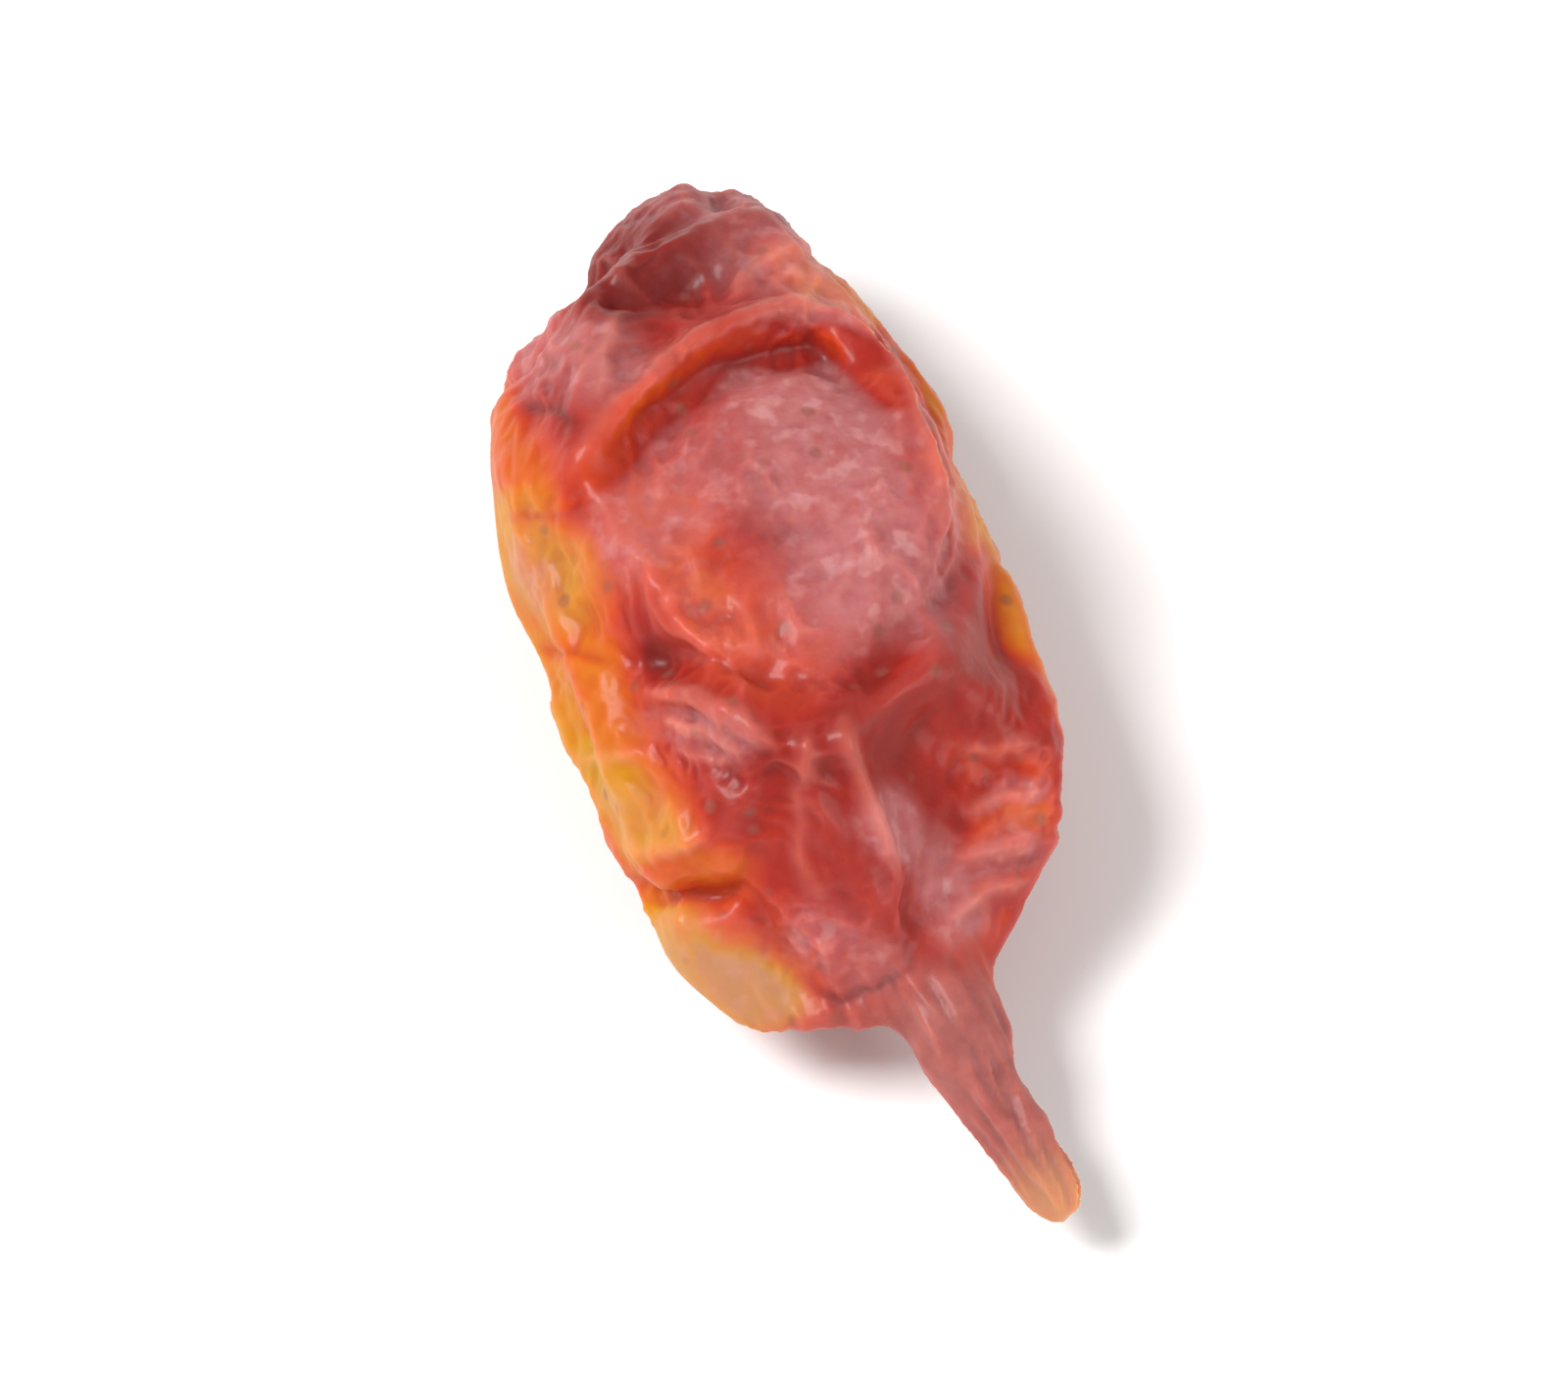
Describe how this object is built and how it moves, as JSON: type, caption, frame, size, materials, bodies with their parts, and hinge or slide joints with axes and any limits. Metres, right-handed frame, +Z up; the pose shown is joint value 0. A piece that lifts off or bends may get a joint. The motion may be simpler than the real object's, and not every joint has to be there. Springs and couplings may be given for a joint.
{
  "type": "dried sea buckthorn berry",
  "caption": "Dried sea buckthorn berry, its collapsed translucent skin folded and draped over the seed, with a short stalk at one end",
  "frame": {"origin": "on the floor under the middle of the bounding box, the berry lying on its side", "axes": "+Z up from the floor it rests on, Y along the berry with the stalk towards -Y, +X to the right when looking from the stalk end"},
  "size_m": [0.0042, 0.01, 0.0032],
  "materials": {
    "skin": "dried fruit skin, satin, translucent deep red going amber where thin"
  },
  "bodies": {
    "root": {"berry": "skin"}
  },
  "joints": []
}
